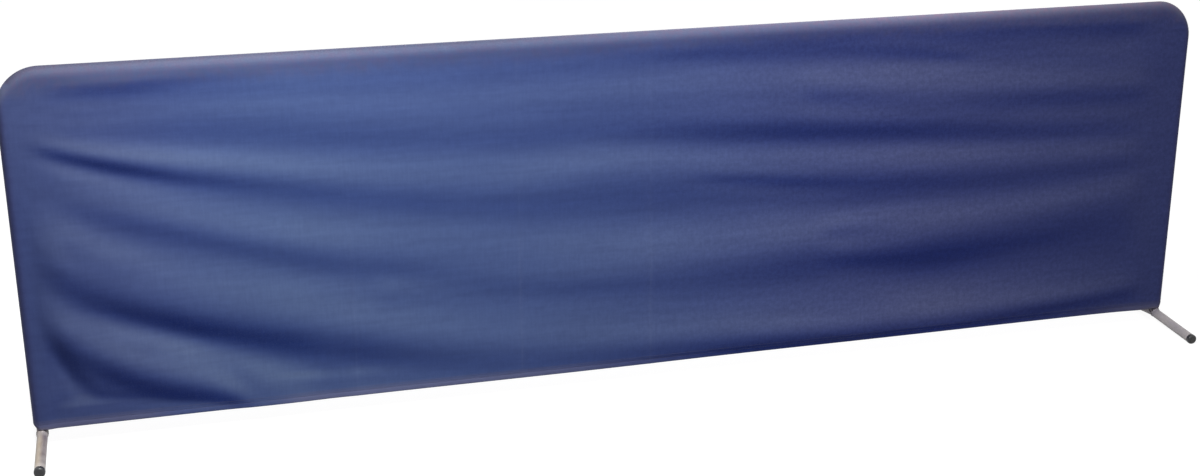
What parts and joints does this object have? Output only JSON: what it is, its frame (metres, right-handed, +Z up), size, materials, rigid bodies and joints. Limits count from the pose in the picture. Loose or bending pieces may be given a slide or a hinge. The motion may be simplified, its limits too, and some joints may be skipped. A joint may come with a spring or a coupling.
{
  "type": "table tennis barrier",
  "caption": "Low free-standing court barrier: a cloth sleeve over a round-tube frame, on T-shaped tube feet that swivel flat for storage.",
  "frame": {"origin": "on the floor, under the middle of the barrier", "axes": "+X along the barrier's length, -Y out of its front, +Z up"},
  "size_m": [2.33, 0.3012, 0.7],
  "materials": {
    "frame_tube_steel": "galvanised, satin",
    "foot_tube_steel": "galvanised, satin",
    "zinc_steel": "zinc plated",
    "navy_cloth": "coated woven polyester, faint sheen",
    "hook_and_loop_tape": "matt pile",
    "black_cap_plastic": "moulded, satin",
    "grey_nylon": "moulded nylon"
  },
  "bodies": {
    "frame": {"frame_tube_left": "frame_tube_steel", "frame_tube_right": "frame_tube_steel", "bottom_rail_left": "frame_tube_steel", "bottom_rail_right": "frame_tube_steel", "top_joint_sleeve": "zinc_steel", "bottom_joint_sleeve": "zinc_steel", "top_joint_screw_left": "zinc_steel", "top_joint_screw_right": "zinc_steel", "bottom_joint_screw_left": "zinc_steel", "bottom_joint_screw_right": "zinc_steel", "swivel_bush_left": "grey_nylon", "swivel_bush_right": "grey_nylon", "front_panel": "navy_cloth", "back_panel": "navy_cloth", "closure_flap": "navy_cloth", "closure_hook_tape": "hook_and_loop_tape", "closure_loop_tape": "hook_and_loop_tape"},
    "foot_left": {"foot_tube_left": "foot_tube_steel", "foot_rear_tube_left": "foot_tube_steel", "foot_cap_front_left": "black_cap_plastic", "foot_cap_rear_left": "black_cap_plastic", "foot_stem_plug_left": "grey_nylon", "foot_stop_pin_left": "zinc_steel"},
    "foot_right": {"foot_tube_right": "foot_tube_steel", "foot_rear_tube_right": "foot_tube_steel", "foot_cap_front_right": "black_cap_plastic", "foot_cap_rear_right": "black_cap_plastic", "foot_stem_plug_right": "grey_nylon", "foot_stop_pin_right": "zinc_steel"}
  },
  "joints": [
    {"name": "foot_swivel_left", "type": "hinge", "parent": "frame", "child": "foot_left", "pos_m": [-1.151, 0, 0.0394], "axis": [0, 0, 1], "range_deg": [0, 90]},
    {"name": "foot_swivel_right", "type": "hinge", "parent": "frame", "child": "foot_right", "pos_m": [1.151, 0, 0.0394], "axis": [0, 0, -1], "range_deg": [0, 90]}
  ]
}
